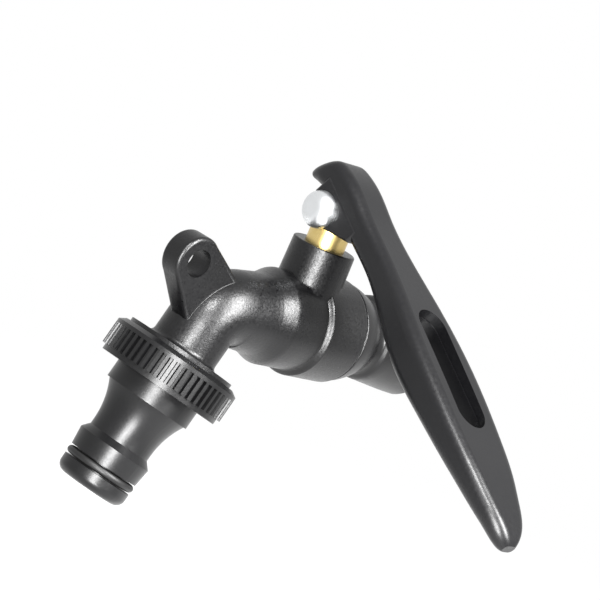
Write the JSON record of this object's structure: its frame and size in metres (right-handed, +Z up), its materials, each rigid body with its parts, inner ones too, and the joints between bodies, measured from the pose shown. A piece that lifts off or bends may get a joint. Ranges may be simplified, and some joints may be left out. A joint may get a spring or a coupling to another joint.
{
  "type": "garden tap",
  "caption": "Lockable garden ball tap: cast body with bent spout and padlock ear, threaded inlet socket, long slotted lever hinged on the stem, and a screwed-on quick-connect hose adaptor.",
  "frame": {"origin": "on the inlet axis at the end face of the inlet, where the threaded socket opens", "axes": "+X out of the wall along the inlet axis towards the spout, +Z up along the stem, +Y towards the lever at rest"},
  "size_m": [0.0883, 0.0934, 0.0835],
  "materials": {
    "coated_body": "satin black coat on cast brass",
    "coated_lever": "satin black coat on die-cast zinc",
    "coated_adaptor": "satin black coat on turned brass",
    "stem_brass": "turned",
    "ball_chrome": "polished",
    "plated_steel": "zinc plated",
    "seat_ptfe": "pressed PTFE",
    "seal_rubber": "moulded"
  },
  "bodies": {
    "tap": {"valve_body": "coated_body", "inlet_end": "coated_body", "end_seal": "seal_rubber", "inlet_seat": "seat_ptfe", "outlet_seat": "seat_ptfe", "stem_washer": "seat_ptfe", "hose_adaptor": "coated_adaptor", "adaptor_washer": "seal_rubber", "nipple_o_ring": "seal_rubber"},
    "valve_stem": {"stem": "stem_brass", "ball": "ball_chrome", "stem_o_ring_upper": "seal_rubber", "stem_o_ring_lower": "seal_rubber"},
    "handle": {"lever": "coated_lever", "pivot_bolt": "plated_steel", "pivot_washer": "plated_steel", "pivot_nut": "plated_steel"}
  },
  "joints": [
    {"name": "valve_turn", "type": "hinge", "parent": "tap", "child": "valve_stem", "pos_m": [0.0425, 0, 0], "axis": [0, 0, 1], "range_deg": [-70, 0]},
    {"name": "lever_lift", "type": "hinge", "parent": "valve_stem", "child": "handle", "pos_m": [0.0425, 0, 0.02565], "axis": [1, 0, 0], "range_deg": [0, 72]}
  ]
}
